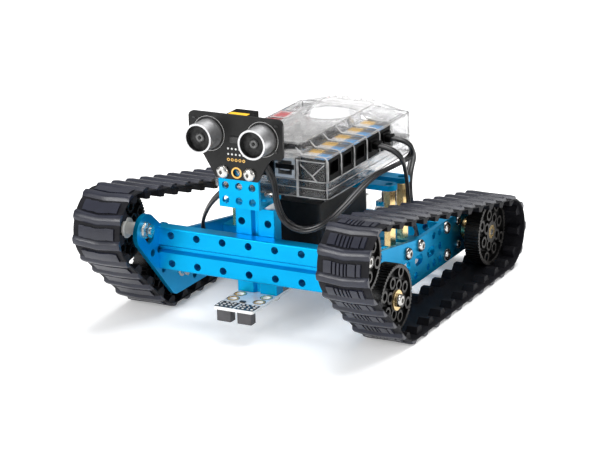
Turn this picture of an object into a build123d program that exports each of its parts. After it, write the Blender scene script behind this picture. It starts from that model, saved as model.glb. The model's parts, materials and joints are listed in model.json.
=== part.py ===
from build123d import *

import math
import os

os.makedirs("parts", exist_ok=True)

# Millimetres, +Z up. The robot faces -Y, and its right-hand track is on +X.
# The origin is on the ground, midway between the ends of the tracks.

# ---- driving dimensions ----
PITCH = 16.0  # hole pitch of the beams
BEAM_WIDTH = 24.0
BEAM_THICK = 8.0
CROSS_LENGTH = 7 * PITCH  # beams that join the two side plates
AXLE_Y = 81.8  # the front and rear axles stand this far from the middle
LOWER_AXLE_Y = -45.4
UPPER_AXLE_Z = 55.2
PLATE_THICK = 2.6
PULLEY_R = 19.4
PULLEY_TEETH = 62
PULLEY_WIDTH = 9.0
BELT_GAP = 0.3  # running clearance between a pulley's rim and the belt
BELT_CARCASS = 1.5
TREAD_HEIGHT = 1.2
BELT_WIDTH = 30.5
BELT_PITCHES = 32
BAR_LENGTH = 8.6
LUG_HEIGHT = 3.8
LUG_BASE = 7.6
LUG_SLOPE = 68

BELT_INNER_R = PULLEY_R + BELT_GAP
BELT_OUTER_R = BELT_INNER_R + BELT_CARCASS
AXLE_Z = BELT_OUTER_R + TREAD_HEIGHT
PLATE_IN = CROSS_LENGTH / 2
PLATE_OUT = PLATE_IN + PLATE_THICK
BELT_IN = 58.0 + 1.0
BELT_OUT = BELT_IN + BELT_WIDTH - 1.0
PULLEY_IN = 67.3
PULLEY_OUT = PULLEY_IN + PULLEY_WIDTH

FRONT_Y = -AXLE_Y + 13.5  # front face of the front beam
MIDDLE_Y = 13.8  # centre of the middle beam and of the rails under the case
REAR_Y = 56.6  # centre of the rear beam
PLATE_BOTTOM = 9.0
PLATE_TOP = 34.0
FRONT_BEAM_Z = 41.0
REAR_BEAM_Z = 22.0
STANDOFF_LENGTH = 32.0
CASE_RAIL_Z = PLATE_TOP + STANDOFF_LENGTH
CASE_RAIL_THICK = 3.0
CASE_RAIL_WIDTH = 9.0
SENSOR_BEAM_LENGTH = 3 * PITCH
SENSOR_BEAM_BOTTOM = 20.2
SENSOR_BEAM_TOP = SENSOR_BEAM_BOTTOM + SENSOR_BEAM_LENGTH

HOLE_R = 2.1
TAP_R = 1.75
TAP_DEPTH = 11.0
BEAM_EDGE_R = 0.8
GROOVE_WIDTH = 4.4
GROOVE_DEPTH = 2.2
GROOVE_FLANK = 32  # lean of the groove's sides, in degrees
SHANK_R = 1.65
AXLE_R = 1.95
HEAD_R = 3.6
HEAD_HEIGHT = 2.4
NUT_FLATS = 7.0
NUT_HEIGHT = 3.2

BRACKET_THICK = 2.0
BRACKET_LEG = 24.0
BRACKET_FACE_Y = FRONT_Y - BEAM_THICK
BRACKET_BOTTOM = 72.7
BRACKET_TOP_ROW = BRACKET_BOTTOM + 20.0
SENSOR_BOARD_THICK = 1.6
SENSOR_BOARD_HALF = 28.0
TRANSDUCER_R = 8.0
TRANSDUCER_LENGTH = 11.7
TRANSDUCER_Z = 112.6

CASE_LENGTH = 103.4
CASE_WIDTH = 69.6
CASE_X = 4.8  # the controller case stands a little to the right of the middle
CASE_Y = 1.0
CASE_BOTTOM = 74.4
CASE_SPLIT = 84.0
CASE_SHOULDER = 97.8
CASE_TOP = 102.2
CASE_WALL = 1.6
CASE_CORNER = 3.5
SPINE_WIDTH = 34.0  # raised middle of the lid, between the two rows of sockets
SPINE_LENGTH = 94.0
HIP_LENGTH = 24.5  # rear of the lid, where the raised middle slopes out to both sides
OPENING_R = 15.3
OPENING_Y = 18.7
BOARD_Z = CASE_SPLIT - 1.2
PORT_PITCH = 15.5
PORT_WIDTH = 13.2
PORT_HEIGHT = 12.3
PORT_DEPTH = 16.0
SOCKET_RECESS = 3.9
FIRST_PORT_Y = -42.3
RESET_SPOT = (-6.0, -20.0)
USB_X = 14.0
USB_WIDTH = 12.0
JACK_X = 2.2
JACK_WIDTH = 9.0
SWITCH_X = -7.8
SWITCH_WIDTH = 9.0
SLIDE_TRAVEL = 2.6
FRONT_SOCKET_HEIGHT = 11.0

CABLE_R = 1.75


def save(piece, name):
    """Label a finished piece and write its STEP file."""
    piece.label = name
    export_step(piece, f"parts/{name}.step")
    print(name, round(piece.volume, 1))


def x_plane(x, y=0.0, z=0.0):
    """A plane facing +X, drawn with Y to the right and Z up."""
    return Plane(origin=(x, y, z), x_dir=(0, 1, 0), z_dir=(1, 0, 0))


def span(side, near, far):
    """Low end of the X range from near to far on one side of the robot."""
    return near if side > 0 else -far


def axle_points():
    """Upper, lower and rear axle centres as (y, z)."""
    return [(-AXLE_Y, UPPER_AXLE_Z), (LOWER_AXLE_Y, AXLE_Z), (AXLE_Y, AXLE_Z)]


# ---- beams ----
def beam_body(columns):
    """A beam lying along X in the XY plane, centred, 8 mm thick in Z."""
    length = columns * PITCH
    with BuildPart() as beam:
        Box(length, BEAM_WIDTH, BEAM_THICK)
        long_edges = beam.edges().filter_by(Axis.X)
        fillet(long_edges, BEAM_EDGE_R)
        with GridLocations(PITCH, PITCH, columns, 2):
            Hole(HOLE_R)
        for side in (1, -1):
            with BuildSketch(Plane(origin=(0, 0, side * BEAM_THICK / 2), z_dir=(0, 0, -side))):
                Rectangle(length + 4 * GROOVE_DEPTH, GROOVE_WIDTH)
            extrude(amount=GROOVE_DEPTH, taper=GROOVE_FLANK, mode=Mode.SUBTRACT)
        for end, turn in ((length / 2, 90), (-length / 2, -90)):
            taps = [Location((end, y, 0), (0, turn, 0)) for y in (-PITCH / 2, PITCH / 2)]
            with Locations(*taps):
                Cylinder(TAP_R, TAP_DEPTH, mode=Mode.SUBTRACT)
    return beam.part


def make_beams():
    cross = beam_body(7)
    short = beam_body(3)
    upright = Rotation(90, 0, 0) * cross
    save(Pos(0, FRONT_Y + BEAM_THICK / 2, FRONT_BEAM_Z) * upright, "front_beam")
    save(Pos(0, REAR_Y, REAR_BEAM_Z) * upright, "rear_beam")
    save(Pos(0, MIDDLE_Y, PLATE_TOP - BEAM_THICK / 2) * cross, "middle_beam")
    standing = Rotation(90, 0, 0) * (Rotation(0, 0, 90) * short)
    sensor_y = FRONT_Y + BEAM_THICK * 1.5
    save(Pos(0, sensor_y, SENSOR_BEAM_BOTTOM + SENSOR_BEAM_LENGTH / 2) * standing, "sensor_beam")


def make_case_rails():
    """Two flat rails on top of the standoffs that carry the controller case."""
    with BuildPart() as rails:
        with BuildSketch(Plane.XY.offset(CASE_RAIL_Z)):
            with Locations((0, MIDDLE_Y - PITCH / 2), (0, MIDDLE_Y + PITCH / 2)):
                SlotCenterToCenter(6 * PITCH, CASE_RAIL_WIDTH)
            with Locations((0, MIDDLE_Y)):
                with GridLocations(PITCH, PITCH, 7, 2):
                    Circle(HOLE_R, mode=Mode.SUBTRACT)
        extrude(amount=CASE_RAIL_THICK)
    save(rails.part, "case_rails")


# ---- side plates ----
def plate_outline():
    """Corner points of a side plate as (y, z), without the lug at its front."""
    lug_y = -AXLE_Y + 2.0
    return lug_y, UPPER_AXLE_Z - 1.9


def make_side_plate(side, name):
    lug_y, lug_z = plate_outline()
    lug_r = 10.0
    rear_r = (PLATE_TOP - PLATE_BOTTOM) / 2
    beam_top = FRONT_BEAM_Z + BEAM_WIDTH / 2
    corner_y = -49.5
    with BuildPart() as plate:
        with BuildSketch(x_plane(span(side, PLATE_IN, PLATE_OUT))):
            with BuildLine():
                Polyline(
                    (lug_y - lug_r * 0.7071, lug_z - lug_r * 0.7071),
                    (corner_y - 4.0, PLATE_BOTTOM),
                    (AXLE_Y, PLATE_BOTTOM),
                    (AXLE_Y, PLATE_TOP),
                    (20.0, PLATE_TOP),
                    (-48.0, beam_top - 8.0),
                    (FRONT_Y + BEAM_THICK + 1.0, beam_top),
                    (FRONT_Y + 4.0, beam_top),
                    (lug_y + lug_r * 0.7071, lug_z + lug_r * 0.7071),
                    (lug_y - lug_r * 0.7071, lug_z - lug_r * 0.7071),
                )
            make_face()
            with Locations((lug_y, lug_z)):
                Circle(lug_r)
            with Locations((AXLE_Y, (PLATE_TOP + PLATE_BOTTOM) / 2)):
                Circle(rear_r)
        extrude(amount=PLATE_THICK)
        corner = plate.edges().filter_by(Axis.X).sort_by(Axis.Z)[:4].sort_by(Axis.Y)[0]
        fillet(corner, 7.0)
        with BuildSketch(x_plane(span(side, PLATE_IN, PLATE_OUT))):
            with Locations(Location((lug_y + 0.4, lug_z - 0.5), 132)):
                SlotOverall(15.5, 7.6)
            with Locations((LOWER_AXLE_Y, AXLE_Z), (AXLE_Y, AXLE_Z)):
                Circle(HOLE_R)
            with Locations((AXLE_Y, AXLE_Z)):
                Circle(5.2)
            rear_rows = [(REAR_Y, REAR_BEAM_Z + dz) for dz in (-PITCH / 2, PITCH / 2)]
            front_rows = [(FRONT_Y + BEAM_THICK / 2, FRONT_BEAM_Z + dz) for dz in (-PITCH / 2, PITCH / 2)]
            middle_rows = [(MIDDLE_Y + dy, PLATE_TOP - BEAM_THICK / 2) for dy in (-PITCH / 2, PITCH / 2)]
            with Locations(*rear_rows, *front_rows, *middle_rows):
                Circle(HOLE_R)
            spare = [(REAR_Y - 8.0 * k, z) for k in (1, 2) for z in (14.0, 30.0)]
            spare += [(REAR_Y - 8.0 * k, 14.0) for k in (3, 5, 7, 9, 11)]
            spare += [(REAR_Y - 8.0, 22.0), (-74.6, 40.0), (-67.8, 40.0), (-64.0, 27.5), (-28.0, 38.0)]
            with Locations(*spare):
                Circle(HOLE_R)
            with Locations((REAR_Y - 20.0, 22.0), (REAR_Y - 36.0, 22.0), (REAR_Y - 52.0, 22.0)):
                SlotOverall(10.0, 6.0)
            with Locations(*[(AXLE_Y + dy, AXLE_Z + dz) for dy in (-9, 9) for dz in (-7, 7)]):
                Circle(1.6)
        extrude(amount=PLATE_THICK, mode=Mode.SUBTRACT)
    save(plate.part, name)


# ---- fasteners ----
def screw(length, radius=SHANK_R):
    """A button-head screw along +Z with its head's seat at z = 0 and its shank below."""
    with BuildPart() as bolt:
        Cylinder(HEAD_R, HEAD_HEIGHT, align=(Align.CENTER, Align.CENTER, Align.MIN))
        fillet(bolt.edges().group_by(Axis.Z)[-1], HEAD_HEIGHT - 0.5)
        with BuildSketch(Plane.XY):
            Circle(radius)
        extrude(amount=-length)
        with BuildSketch(Plane.XY.offset(HEAD_HEIGHT)):
            RegularPolygon(1.45, 6)
        extrude(amount=-1.3, mode=Mode.SUBTRACT)
    return bolt.part


def toward_x(side, x, y, z):
    """Place a +Z piece so that it points outward along X on one side."""
    return Pos(side * x, y, z) * Rotation(0, 90 * side, 0)


def make_fasteners():
    short = screw(PLATE_THICK + 5.0)
    places = []
    for side in (1, -1):
        for dz in (-PITCH / 2, PITCH / 2):
            places.append(toward_x(side, PLATE_OUT, FRONT_Y + BEAM_THICK / 2, FRONT_BEAM_Z + dz))
            places.append(toward_x(side, PLATE_OUT, REAR_Y, REAR_BEAM_Z + dz))
            places.append(toward_x(side, PLATE_OUT, MIDDLE_Y + dz, PLATE_TOP - BEAM_THICK / 2))
    save(Compound([place * short for place in places]), "beam_screws")

    stud_screw = screw(BEAM_THICK + 5.0, 1.6)
    studs = []
    for x in (-3 * PITCH, 3 * PITCH):
        for y in (MIDDLE_Y - PITCH / 2, MIDDLE_Y + PITCH / 2):
            studs.append(Pos(x, y, PLATE_TOP - BEAM_THICK) * (Rotation(180, 0, 0) * stud_screw))
    save(Compound(studs), "standoff_screws")

    plain = screw(6.4, 1.55)
    forward = Rotation(90, 0, 0) * plain
    fronts = [Pos(x, BRACKET_FACE_Y - SENSOR_BOARD_THICK, BRACKET_TOP_ROW) * forward for x in (-8, 8)]
    end_y = FRONT_Y + BEAM_THICK * 1.5
    long = screw(BRACKET_THICK + 4.5 + 5.0, 1.55)
    tops = [Pos(x, end_y, BRACKET_BOTTOM + BRACKET_THICK) * long for x in (-8, 8)]
    bottoms = [Pos(x, end_y, SENSOR_BEAM_BOTTOM - 1.8) * (Rotation(180, 0, 0) * plain) for x in (-8, 8)]
    save(Compound(fronts + tops + bottoms), "sensor_screws")


def make_standoffs():
    with BuildPart() as standoffs:
        with BuildSketch(Plane.XY.offset(PLATE_TOP)):
            with GridLocations(6 * PITCH, PITCH, 2, 2):
                with Locations((0, 0)):
                    RegularPolygon(3.0, 6, major_radius=False)
                    Circle(TAP_R, mode=Mode.SUBTRACT)
        extrude(amount=STANDOFF_LENGTH)
    save(Pos(0, MIDDLE_Y, 0) * standoffs.part, "standoffs")


# ---- running gear ----
def loop_hull(radius):
    """Outline of a belt that wraps the three axles at a radius, as a sketch on Plane.XY."""
    with BuildSketch() as hull:
        with Locations(*axle_points()):
            Circle(radius)
        make_hull()
    return hull.sketch


def loop_frames(radius, count, shift=0.0):
    """Evenly spaced (y, z, outward angle in degrees) round the belt's path."""
    corners = [Vector(y, z) for y, z in axle_points()]
    order = [corners[0], corners[2], corners[1]]
    legs = []
    for k in range(3):
        start, end = order[k], order[(k + 1) % 3]
        along = (end - start).normalized()
        normal = Vector(-along.Y, along.X)
        legs.append((start, (end - start).length, along, normal))
    pieces = []
    for k in range(3):
        start, length, along, normal = legs[k]
        pieces.append(("leg", start + normal * radius, length, along, normal))
        turn_from = math.atan2(normal.Y, normal.X)
        after = legs[(k + 1) % 3][3]
        turn = (turn_from - math.atan2(after.Y, after.X)) % (2 * math.pi)
        pieces.append(("arc", order[(k + 1) % 3], turn * radius, turn_from, turn))
    total = sum(piece[2] for piece in pieces)
    frames = []
    for k in range(count):
        s = ((k + shift) / count * total) % total
        for piece in pieces:
            if s <= piece[2]:
                break
            s -= piece[2]
        if piece[0] == "leg":
            spot = piece[1] + piece[3] * s
            angle = math.atan2(piece[4].Y, piece[4].X)
        else:
            angle = piece[3] - s / radius
            spot = piece[1] + Vector(math.cos(angle), math.sin(angle)) * radius
        frames.append((spot.X, spot.Y, math.degrees(angle)))
    return frames


def make_track(side, name):
    low = span(side, BELT_IN, BELT_OUT)
    width = BELT_OUT - BELT_IN
    with BuildPart() as track:
        with BuildSketch(x_plane(low)):
            add(loop_hull(BELT_OUTER_R))
            add(loop_hull(BELT_INNER_R), mode=Mode.SUBTRACT)
        extrude(amount=width)
        bar_places = [Location((y, z), angle) for y, z, angle in loop_frames(BELT_OUTER_R, BELT_PITCHES)]
        with BuildSketch(x_plane(low)):
            with Locations(*bar_places):
                Rectangle(2 * TREAD_HEIGHT, BAR_LENGTH)
            add(loop_hull(BELT_OUTER_R + TREAD_HEIGHT), mode=Mode.INTERSECT)
        extrude(amount=width)
        lug_places = [Location((y, z), angle) for y, z, angle in loop_frames(BELT_INNER_R, BELT_PITCHES)]
        with BuildSketch(x_plane(span(side, BELT_IN + 0.4, BELT_IN + 6.6))):
            with Locations(*lug_places):
                with Locations((-LUG_HEIGHT / 2 + 0.4, 0)):
                    Trapezoid(LUG_BASE, LUG_HEIGHT + 0.8, LUG_SLOPE, rotation=90)
        extrude(amount=6.2)
        with BuildSketch(x_plane(span(side, BELT_OUT - 9.6, BELT_OUT - 2.4))):
            with Locations(*lug_places):
                with Locations((-LUG_HEIGHT / 2 + 0.4, 0)):
                    Trapezoid(LUG_BASE, LUG_HEIGHT + 0.8, LUG_SLOPE, rotation=90)
        extrude(amount=7.2)
    save(track.part, name)


def pulley_body(turn, bore_r):
    """A toothed pulley along +Z from z = 0, with bosses on an 8 mm grid turned by an angle."""
    root_r = PULLEY_R - 0.7
    boss_spots = [(8, 0), (-8, 0), (0, 8), (0, -8), (15.2, 0), (-15.2, 0), (0, 15.2), (0, -15.2)]
    boss_spots += [(sx * 8, sy * 8) for sx in (-1, 1) for sy in (-1, 1)]
    with BuildPart() as pulley:
        with BuildSketch():
            Circle(root_r)
        extrude(amount=PULLEY_WIDTH)
        with BuildSketch():
            with PolarLocations(root_r, PULLEY_TEETH):
                Rectangle(1.4, 1.1)
        extrude(amount=PULLEY_WIDTH)
        for face_z, depth in ((PULLEY_WIDTH, -2.4), (0, 2.4)):
            with BuildSketch(Plane.XY.offset(face_z)):
                Circle(root_r - 1.3)
                with Locations(Rotation(0, 0, turn)):
                    with Locations(*boss_spots):
                        Circle(3.3, mode=Mode.SUBTRACT)
                    Rectangle(16, 1.4, mode=Mode.SUBTRACT)
                    Rectangle(1.4, 16, mode=Mode.SUBTRACT)
                Circle(6.6, mode=Mode.SUBTRACT)
            extrude(amount=depth, mode=Mode.SUBTRACT)
        with BuildSketch():
            with Locations(Rotation(0, 0, turn)):
                with Locations(*boss_spots):
                    Circle(HOLE_R)
            Circle(bore_r)
        extrude(amount=PULLEY_WIDTH, mode=Mode.SUBTRACT)
    return pulley.part


def bushing_body():
    """A flanged bushing along +Z, its flange's seat at z = 0 and its sleeve below."""
    with BuildPart() as bushing:
        Cylinder(5.6, 0.9, align=(Align.CENTER, Align.CENTER, Align.MIN))
        Cylinder(3.98, 4.0, align=(Align.CENTER, Align.CENTER, Align.MAX))
        Cylinder(AXLE_R + 0.06, 12, mode=Mode.SUBTRACT)
    return bushing.part


def make_running_gear():
    spots = axle_points()
    names = ("upper", "lower")
    turns = (-19.0, -23.5)
    bushing = bushing_body()
    for side, hand in ((1, "right"), (-1, "left")):
        for spot, label, turn in zip(spots[:2], names, turns):
            base = Pos(side * PULLEY_IN, *spot) * Rotation(0, 90 * side, 0) * Rotation(0, 0, 90 * side)
            save(base * pulley_body(turn, 4.0), f"{label}_pulley_{hand}")
            outer = toward_x(side, PULLEY_OUT, *spot) * bushing
            inner = toward_x(-side, -PULLEY_IN, *spot) * bushing
            save(Compound([outer, inner]), f"{label}_bushings_{hand}")
        base = Pos(side * PULLEY_IN, *spots[2]) * Rotation(0, 90 * side, 0) * Rotation(0, 0, 90 * side)
        save(base * pulley_body(-28.0, 4.0), f"drive_pulley_{hand}")

    head_x = PULLEY_OUT + 1.2
    axle = screw(head_x - PLATE_IN + NUT_HEIGHT + 1.6, AXLE_R)
    spacer_length = PULLEY_IN - 1.2 - PLATE_OUT
    with BuildPart() as spacer:
        Cylinder(3.5, spacer_length, align=(Align.CENTER, Align.CENTER, Align.MIN))
        Cylinder(AXLE_R + 0.1, 40, mode=Mode.SUBTRACT)
    with BuildPart() as nut:
        with BuildSketch():
            RegularPolygon(NUT_FLATS / 2, 6, major_radius=False)
            Circle(AXLE_R + 0.02, mode=Mode.SUBTRACT)
        extrude(amount=NUT_HEIGHT)
        with BuildSketch(Plane.XY.offset(-0.9)):
            Circle(4.6)
            Circle(AXLE_R + 0.02, mode=Mode.SUBTRACT)
        extrude(amount=0.9)
    axles, spacers, nuts = [], [], []
    for side in (1, -1):
        for spot in spots[:2]:
            axles.append(toward_x(side, head_x, *spot) * axle)
            spacers.append(toward_x(side, PLATE_OUT, *spot) * spacer.part)
            nuts.append(toward_x(-side, -(PLATE_IN - 0.9), *spot) * nut.part)
    save(Compound(axles), "axle_screws")
    save(Compound(spacers), "axle_spacers")
    save(Compound(nuts), "axle_nuts")


# ---- motors ----
def make_motor(side, hand):
    gear_in = 34.0
    can_in = 12.0
    place = Pos(0, AXLE_Y, AXLE_Z)
    with BuildPart() as gearbox:
        with BuildSketch(x_plane(span(side, gear_in, PLATE_IN))):
            RectangleRounded(30.0, 23.0, 4.0)
        extrude(amount=PLATE_IN - gear_in)
        with BuildSketch(x_plane(span(side, gear_in, PLATE_IN))):
            Circle(3.2)
            with GridLocations(18, 14, 2, 2):
                Circle(1.3)
        extrude(amount=PLATE_IN - gear_in, mode=Mode.SUBTRACT)
        bore_face = span(side, gear_in, gear_in + 2.0)
        with BuildSketch(x_plane(bore_face)):
            Circle(3.2)
        extrude(amount=2.0)
    save(place * gearbox.part, f"motor_gearbox_{hand}")
    with BuildPart() as can:
        with BuildSketch(x_plane(span(side, can_in, gear_in))):
            Circle(11.0)
        extrude(amount=gear_in - can_in)
        with BuildSketch(x_plane(span(side, can_in - 7.0, can_in))):
            Circle(10.4)
            with Locations((0, 8.0)):
                Rectangle(12.0, 7.0)
        extrude(amount=7.0)
    save(place * can.part, f"motor_can_{hand}")
    shaft_in = gear_in + 3.0
    with BuildPart() as shaft:
        with BuildSketch(x_plane(span(side, shaft_in, PULLEY_OUT))):
            Circle(2.0)
        extrude(amount=PULLEY_OUT - shaft_in)
        with BuildSketch(x_plane(span(side, shaft_in, shaft_in + 6.0))):
            Circle(3.1)
        extrude(amount=6.0)
    save(place * shaft.part, f"motor_shaft_{hand}")
    hub_in = PLATE_OUT + 0.9
    with BuildPart() as hub:
        with BuildSketch(x_plane(span(side, hub_in, PULLEY_OUT))):
            Circle(3.95)
        extrude(amount=PULLEY_OUT - hub_in)
        with BuildSketch(x_plane(span(side, hub_in, PULLEY_IN))):
            Circle(6.0)
        extrude(amount=PULLEY_IN - hub_in)
        with BuildSketch(x_plane(span(side, hub_in, PULLEY_OUT))):
            Circle(2.0)
        extrude(amount=PULLEY_OUT - hub_in, mode=Mode.SUBTRACT)
    save(place * hub.part, f"drive_hub_{hand}")


def make_motor_screws():
    places = []
    for side in (1, -1):
        for dy in (-9, 9):
            for dz in (-7, 7):
                places.append(toward_x(side, PLATE_OUT, AXLE_Y + dy, AXLE_Z + dz))
    with BuildPart() as bolt:
        Cylinder(2.4, 1.5, align=(Align.CENTER, Align.CENTER, Align.MIN))
        fillet(bolt.edges().group_by(Axis.Z)[-1], 0.8)
        Cylinder(1.25, PLATE_THICK + 5.0, align=(Align.CENTER, Align.CENTER, Align.MAX))
    save(Compound([place * bolt.part for place in places]), "motor_screws")


# ---- distance sensor ----
def make_distance_sensor():
    face_y = BRACKET_FACE_Y
    with BuildPart() as bracket:
        with BuildSketch(Plane.YZ):
            with BuildLine():
                Polyline(
                    (face_y, BRACKET_BOTTOM),
                    (face_y + BRACKET_LEG, BRACKET_BOTTOM),
                    (face_y + BRACKET_LEG, BRACKET_BOTTOM + BRACKET_THICK),
                    (face_y + BRACKET_THICK, BRACKET_BOTTOM + BRACKET_THICK),
                    (face_y + BRACKET_THICK, BRACKET_BOTTOM + BRACKET_LEG),
                    (face_y, BRACKET_BOTTOM + BRACKET_LEG),
                    (face_y, BRACKET_BOTTOM),
                )
            make_face()
        extrude(amount=BRACKET_LEG / 2, both=True)
        with BuildSketch(Plane.XZ.offset(-face_y)):
            with Locations((0, BRACKET_BOTTOM + 12.0)):
                with GridLocations(8, 8, 3, 3):
                    Circle(HOLE_R)
        extrude(amount=-BRACKET_THICK, mode=Mode.SUBTRACT)
        with BuildSketch(Plane.XY.offset(BRACKET_BOTTOM)):
            with Locations((0, face_y + 12.0)):
                with GridLocations(8, 8, 3, 3):
                    Circle(HOLE_R)
        extrude(amount=BRACKET_THICK, mode=Mode.SUBTRACT)
    save(bracket.part, "sensor_bracket")

    gap = BRACKET_BOTTOM - SENSOR_BEAM_TOP
    with BuildPart() as spacers:
        with BuildSketch(Plane.XY.offset(SENSOR_BEAM_TOP)):
            with Locations((-8, FRONT_Y + BEAM_THICK * 1.5), (8, FRONT_Y + BEAM_THICK * 1.5)):
                Circle(3.5)
                Circle(1.9, mode=Mode.SUBTRACT)
        extrude(amount=gap)
    save(spacers.part, "bracket_spacers")

    top_z = 124.0
    step_z = 102.0
    bottom_z = 88.8
    with BuildPart() as board:
        with BuildSketch(Plane.XZ.offset(-face_y)) as outline:
            with BuildLine():
                right = [(12.4, bottom_z), (19.5, step_z - 1.5), (21.0, step_z)]
                right += [(SENSOR_BOARD_HALF, step_z), (SENSOR_BOARD_HALF, top_z)]
                left = [(-x, z) for x, z in reversed(right)]
                Polyline(*right, *left, right[0])
            make_face()
            corners = [corner for corner in outline.vertices() if abs(corner.X) > SENSOR_BOARD_HALF - 1]
            fillet(corners, 3.0)
            with Locations(*[(x, BRACKET_TOP_ROW) for x in (-8, 0, 8)]):
                Circle(2.1, mode=Mode.SUBTRACT)
        extrude(amount=SENSOR_BOARD_THICK)
    save(board.part, "distance_sensor_board")

    can_y = face_y - SENSOR_BOARD_THICK
    for x, name in ((-16.0, "transducer_left"), (16.0, "transducer_right")):
        with BuildPart() as can:
            with BuildSketch(Plane.XZ.offset(-can_y)):
                with Locations((x, TRANSDUCER_Z)):
                    Circle(TRANSDUCER_R)
            extrude(amount=TRANSDUCER_LENGTH)
            with BuildSketch(Plane.XZ.offset(-can_y + 1.0)):
                with Locations((x, TRANSDUCER_Z)):
                    Circle(TRANSDUCER_R - 1.0)
            extrude(amount=TRANSDUCER_LENGTH, mode=Mode.SUBTRACT)
            with BuildSketch(Plane.XZ.offset(-can_y + 1.0)):
                with Locations((x, TRANSDUCER_Z)):
                    Circle(3.4)
            extrude(amount=4.5)
        save(can.part, name)

    back_y = face_y
    with BuildPart() as socket:
        with BuildSketch(Plane.XZ.offset(-back_y)):
            with Locations((0, 115.5)):
                Rectangle(PORT_WIDTH, PORT_DEPTH)
        extrude(amount=-12.3)
        with BuildSketch(Plane.XY.offset(107.5)):
            with Locations((0, back_y + 6.4)):
                Rectangle(9.8, 7.0)
        extrude(amount=SOCKET_RECESS, mode=Mode.SUBTRACT)
    save(socket.part, "distance_sensor_socket")


# ---- line sensor ----
def make_line_sensor():
    top = SENSOR_BEAM_BOTTOM - 0.2
    thick = 1.6
    front = FRONT_Y - 18.9
    length = 51.0
    with BuildPart() as board:
        with BuildSketch(Plane.XY.offset(top - thick)):
            with Locations((0, front + length / 2)):
                RectangleRounded(24.0, length, 1.6)
                holes = [(x, FRONT_Y + y - front - length / 2) for x in (-8, 8) for y in (-4, 4, 12)]
                with Locations(*holes):
                    Circle(HOLE_R, mode=Mode.SUBTRACT)
        extrude(amount=thick)
    save(board.part, "line_sensor_board")
    with BuildPart() as blocks:
        with BuildSketch(Plane.XY.offset(top - thick)):
            with Locations((-6.2, front + 3.6), (6.2, front + 3.6)):
                RectangleRounded(8.6, 5.4, 0.5)
        extrude(amount=-6.6)
    save(blocks.part, "line_sensor_eyes")
    with BuildPart() as socket:
        with BuildSketch(Plane.XY.offset(top)):
            with Locations((0, front + length - 7.6)):
                Rectangle(PORT_WIDTH, PORT_DEPTH)
        extrude(amount=PORT_HEIGHT)
        with BuildSketch(Plane.XZ.offset(-(front + length + 0.4))):
            with Locations((0, top + 6.2)):
                Rectangle(9.8, 7.0)
        extrude(amount=SOCKET_RECESS, mode=Mode.SUBTRACT)
    save(socket.part, "line_sensor_socket")


# ---- controller ----
def lid_block(shrink):
    """The lid's outer shape, or its hollow when it is shrunk by the wall."""
    top = CASE_TOP - shrink
    shoulder = CASE_SHOULDER - shrink
    half_spine = SPINE_WIDTH / 2 - shrink
    half_width = CASE_WIDTH / 2 - shrink
    rear = CASE_LENGTH / 2 - shrink
    with BuildPart() as block:
        with BuildSketch(Plane.XY.offset(CASE_SPLIT)):
            RectangleRounded(2 * half_width, 2 * rear, CASE_CORNER - shrink)
        extrude(amount=shoulder - CASE_SPLIT)
        with BuildSketch(Plane.XY.offset(shoulder - 1.0)):
            with Locations((0, 1.0)):
                RectangleRounded(2 * half_spine, SPINE_LENGTH - 2 * shrink, 5.0 - shrink)
        extrude(amount=top - shoulder + 1.0, taper=14)
        with BuildSketch(Plane.XZ.offset(-(rear - HIP_LENGTH))):
            with BuildLine():
                Polyline(
                    (-half_width + 2.0, shoulder - 1.0),
                    (half_width - 2.0, shoulder - 1.0),
                    (half_width - 2.0, shoulder),
                    (half_spine - 2.0, top),
                    (2.0 - half_spine, top),
                    (2.0 - half_width, shoulder),
                    (2.0 - half_width, shoulder - 1.0),
                )
            make_face()
        extrude(amount=-(HIP_LENGTH - 1.5))
    return block.part


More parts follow.
